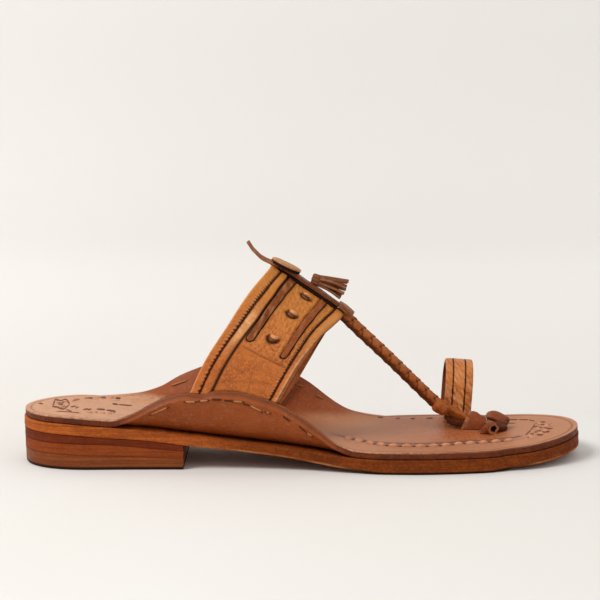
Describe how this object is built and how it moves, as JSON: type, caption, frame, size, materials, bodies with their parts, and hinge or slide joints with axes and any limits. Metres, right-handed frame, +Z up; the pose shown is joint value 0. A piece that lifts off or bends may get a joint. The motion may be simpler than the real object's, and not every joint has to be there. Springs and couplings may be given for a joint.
{
  "type": "kolhapuri sandal",
  "caption": "Right leather sandal: flat sole with a stacked heel, two standing ears, a wide instep band, a braided strap and a toe loop.",
  "frame": {"origin": "on the floor, below the middle of the sole's length and breadth", "axes": "+X towards the toe, +Y towards the inner side of the foot, +Z up"},
  "size_m": [0.2776, 0.1008, 0.1077],
  "materials": {
    "outsole_leather": "cut edge of tan sole leather, lightly waxed",
    "dark_lift_leather": "dark brown cut edge, matt",
    "middle_lift_leather": "reddish brown cut edge, matt",
    "top_piece_leather": "smooth brown edge in thin layers, satin",
    "insole_leather": "dusty pinkish tan grain, satin",
    "band_leather": "golden tan oiled grain, half gloss",
    "inlay_leather": "dark reddish brown, satin",
    "trim_leather": "dark reddish brown, satin",
    "disc_leather": "pale pinkish tan, satin",
    "keeper_leather": "reddish brown folded leather, satin"
  },
  "bodies": {
    "root": {"outsole": "outsole_leather", "heel_lift_dark": "dark_lift_leather", "heel_lift_middle": "middle_lift_leather", "heel_top_piece": "top_piece_leather", "insole": "insole_leather", "upper": "band_leather", "inlay_rear_lateral": "inlay_leather", "inlay_rear_medial": "inlay_leather", "inlay_front_lateral": "inlay_leather", "inlay_front_medial": "inlay_leather", "nub_lateral_1": "trim_leather", "nub_lateral_2": "trim_leather", "nub_lateral_3": "trim_leather", "nub_medial_1": "trim_leather", "nub_medial_2": "trim_leather", "nub_medial_3": "trim_leather", "disc_button": "disc_leather", "strap_collar": "trim_leather", "tassel": "trim_leather", "toe_keeper": "keeper_leather", "toe_knot": "keeper_leather"}
  },
  "joints": []
}
